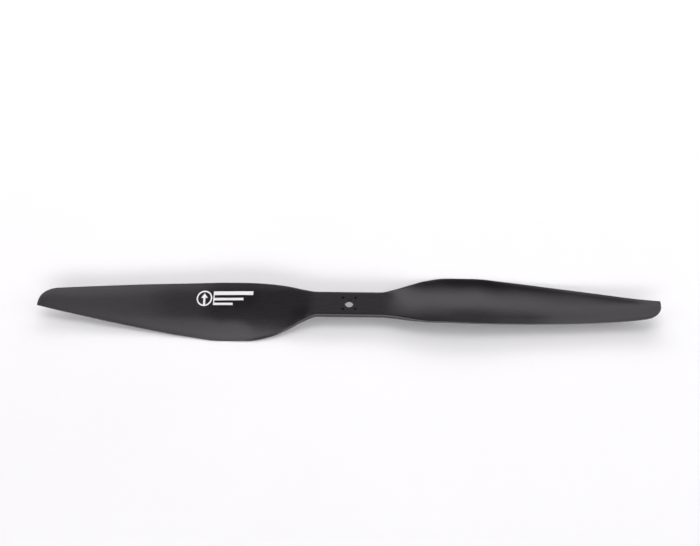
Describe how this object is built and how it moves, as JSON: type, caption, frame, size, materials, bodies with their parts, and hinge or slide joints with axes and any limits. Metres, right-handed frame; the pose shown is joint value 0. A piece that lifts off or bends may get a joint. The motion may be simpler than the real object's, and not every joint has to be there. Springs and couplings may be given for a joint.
{
  "type": "propeller",
  "caption": "Fixed-pitch carbon-fibre drone propeller: slim twisted blades with rounded tips and a flat hub drilled for a shaft boss and screws.",
  "frame": {"origin": "centre of the shaft bore on the hub's lower face, the face that sits on the motor", "axes": "+Z along the bore, away from the motor and in the direction of thrust; X along the blades, with blade A (the one with the decal) towards -X; Y across them. At blade A the leading edge is towards +Y"},
  "size_m": [0.7112, 0.0838, 0.0192],
  "materials": {
    "carbon_skin": "satin",
    "carbon_ply": "matte",
    "carbon_ud": "satin",
    "carbon_block": "matte",
    "foam": "matte",
    "resin": "gloss",
    "white_print": "matte"
  },
  "bodies": {
    "root": {"upper_skin": "carbon_skin", "lower_skin": "carbon_skin", "upper_root_doubler": "carbon_ply", "lower_root_doubler": "carbon_ply", "upper_spar_cap": "carbon_ud", "lower_spar_cap": "carbon_ud", "hub_core": "carbon_block", "blade_a_foam_core": "foam", "blade_b_foam_core": "foam", "blade_a_leading_edge_bond": "resin", "blade_b_leading_edge_bond": "resin", "blade_a_trailing_edge_bond": "resin", "blade_b_trailing_edge_bond": "resin", "blade_a_tip_block": "carbon_block", "blade_b_tip_block": "carbon_block", "direction_decal": "white_print"}
  },
  "joints": []
}
